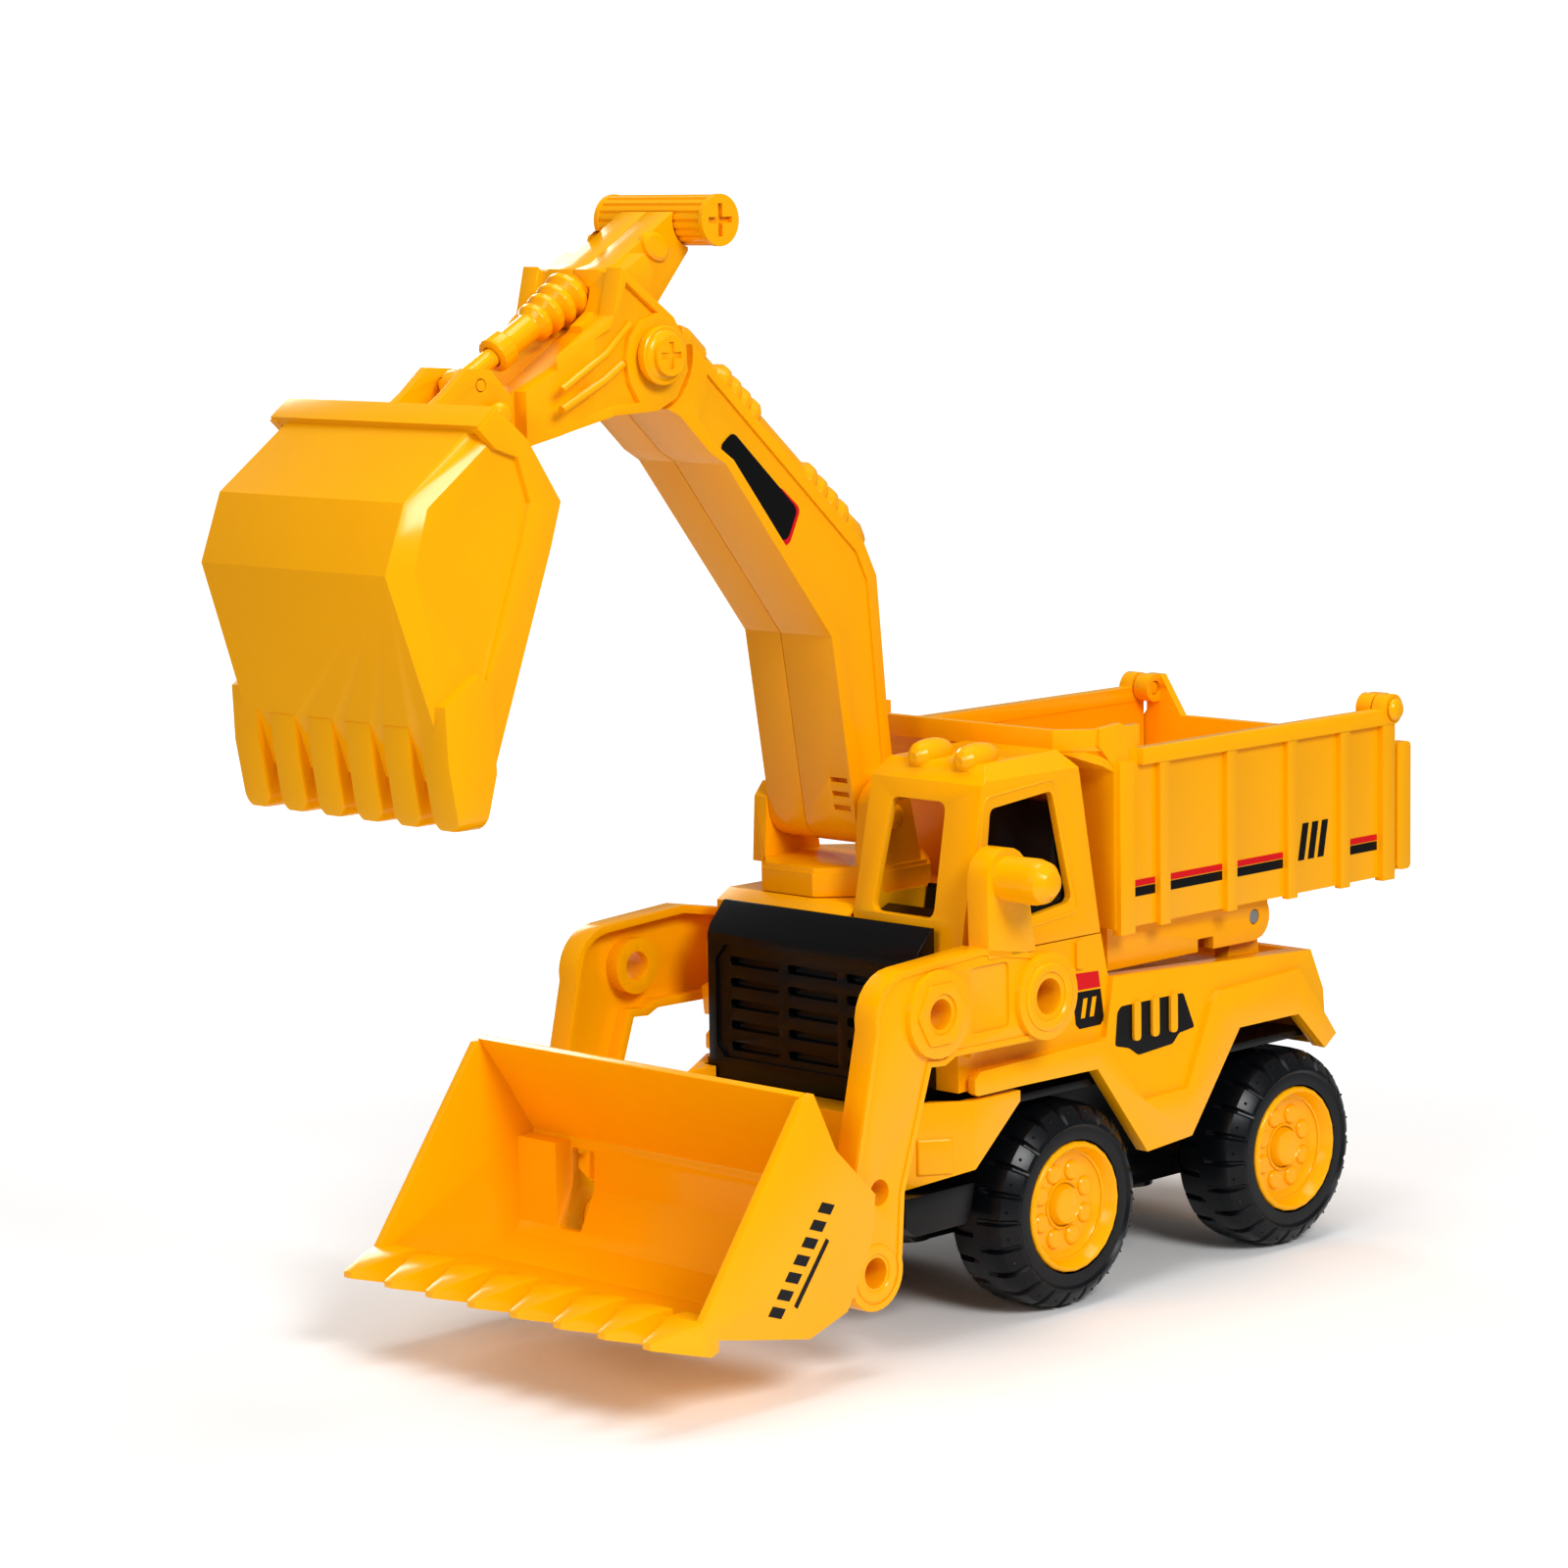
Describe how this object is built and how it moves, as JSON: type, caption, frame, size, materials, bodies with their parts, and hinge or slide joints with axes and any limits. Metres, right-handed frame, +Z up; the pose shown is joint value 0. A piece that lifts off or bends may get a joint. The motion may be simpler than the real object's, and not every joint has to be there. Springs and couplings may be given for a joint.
{
  "type": "toy excavator truck",
  "caption": "Toy construction truck with a swivelling excavator arm, a tooth-edged front loader bucket on two arms, a side cab and a tipping dump bed with a tailgate.",
  "frame": {"origin": "centre of the whole object's box on the floor under the wheels, at rest", "axes": "+Z up, -Y forward towards the loader bucket, +X to the vehicle's left, the side of the cab and the hand lever"},
  "size_m": [0.142, 0.37, 0.3112],
  "materials": {
    "yellow_plastic": "moulded yellow ABS, satin gloss",
    "black_plastic": "moulded black plastic, satin",
    "black_vinyl": "soft black vinyl, smooth with a slight sheen",
    "plated_steel": "bright zinc plating"
  },
  "bodies": {
    "chassis": {"chassis_base": "black_plastic", "body_shell": "yellow_plastic", "cab_shell": "yellow_plastic", "cab_interior": "black_plastic", "grille": "black_plastic", "front_bumper": "yellow_plastic", "dump_hinge_rod": "plated_steel", "base_screw_1": "plated_steel", "base_screw_2": "plated_steel", "base_screw_3": "plated_steel", "base_screw_4": "plated_steel"},
    "front_axle": {"front_axle_rod": "plated_steel", "front_rim_left": "yellow_plastic", "front_rim_right": "yellow_plastic", "front_tyre_left": "black_vinyl", "front_tyre_right": "black_vinyl"},
    "rear_axle": {"rear_axle_rod": "plated_steel", "rear_rim_left": "yellow_plastic", "rear_rim_right": "yellow_plastic", "rear_tyre_left": "black_vinyl", "rear_tyre_right": "black_vinyl"},
    "loader_arms": {"loader_arm_left": "yellow_plastic", "loader_arm_right": "yellow_plastic"},
    "loader_bucket": {"loader_bucket": "yellow_plastic"},
    "dump_bed": {"dump_bed": "yellow_plastic", "tailgate_pin_left": "yellow_plastic", "tailgate_pin_right": "yellow_plastic"},
    "tailgate": {"tailgate": "yellow_plastic"},
    "turret": {"turret_base": "yellow_plastic", "turret_screw": "plated_steel", "turret_washer": "plated_steel", "boom_pivot_pin": "yellow_plastic"},
    "boom": {"boom_near_half": "yellow_plastic", "boom_far_half": "yellow_plastic", "boom_ram": "yellow_plastic"},
    "stick": {"stick_near_half": "yellow_plastic", "stick_far_half": "yellow_plastic", "stick_handle": "yellow_plastic", "stick_ram_barrel": "yellow_plastic", "stick_pivot_pin": "yellow_plastic", "stick_pivot_cap": "yellow_plastic"},
    "bucket_rod": {"bucket_rod": "yellow_plastic"},
    "scoop": {"scoop_bucket": "yellow_plastic", "scoop_hinge_pin": "yellow_plastic", "rod_cross_pin": "yellow_plastic"}
  },
  "joints": [
    {"name": "front_axle_spin", "type": "hinge", "parent": "chassis", "child": "front_axle", "pos_m": [-0.007, 0.0274, 0.0293], "axis": [1, 0, 0], "continuous": true},
    {"name": "rear_axle_spin", "type": "hinge", "parent": "chassis", "child": "rear_axle", "pos_m": [-0.007, 0.126, 0.0293], "axis": [1, 0, 0], "continuous": true},
    {"name": "loader_lift", "type": "hinge", "parent": "chassis", "child": "loader_arms", "pos_m": [-0.007, 0.0064, 0.093], "axis": [-1, 0, 0], "range_deg": [-9, 60]},
    {"name": "loader_tilt", "type": "hinge", "parent": "loader_arms", "child": "loader_bucket", "pos_m": [-0.007, -0.0616, 0.0282], "axis": [1, 0, 0], "range_deg": [0, 55]},
    {"name": "dump_tilt", "type": "hinge", "parent": "chassis", "child": "dump_bed", "pos_m": [-0.007, 0.1194, 0.0982], "axis": [-1, 0, 0], "range_deg": [0, 35]},
    {"name": "tailgate_swing", "type": "hinge", "parent": "dump_bed", "child": "tailgate", "pos_m": [-0.007, 0.1759, 0.1543], "axis": [1, 0, 0], "range_deg": [0, 60]},
    {"name": "turret_swivel", "type": "hinge", "parent": "chassis", "child": "turret", "pos_m": [-0.028, 0.0144, 0.1146], "axis": [0, 0, 1], "range_deg": [-90, 90]},
    {"name": "boom_lift", "type": "hinge", "parent": "turret", "child": "boom", "pos_m": [-0.029, 0.0109, 0.1365], "axis": [-1, 0, 0], "range_deg": [-35, 10]},
    {"name": "stick_swing", "type": "hinge", "parent": "boom", "child": "stick", "pos_m": [-0.029, -0.0741, 0.2692], "axis": [-1, 0, 0], "range_deg": [-40, 30]},
    {"name": "bucket_curl", "type": "hinge", "parent": "stick", "child": "scoop", "pos_m": [-0.029, -0.1226, 0.2555], "axis": [1, 0, 0], "range_deg": [-30, 35]},
    {"name": "bucket_rod_slide", "type": "slide", "parent": "stick", "child": "bucket_rod", "axis": [0, -0.8776, -0.4794], "range_m": [-0.0047, 0.0055]}
  ],
  "couplings": [
    {"joint": "bucket_rod_slide", "follows": "bucket_curl", "m_per_rad": 0.0089}
  ]
}
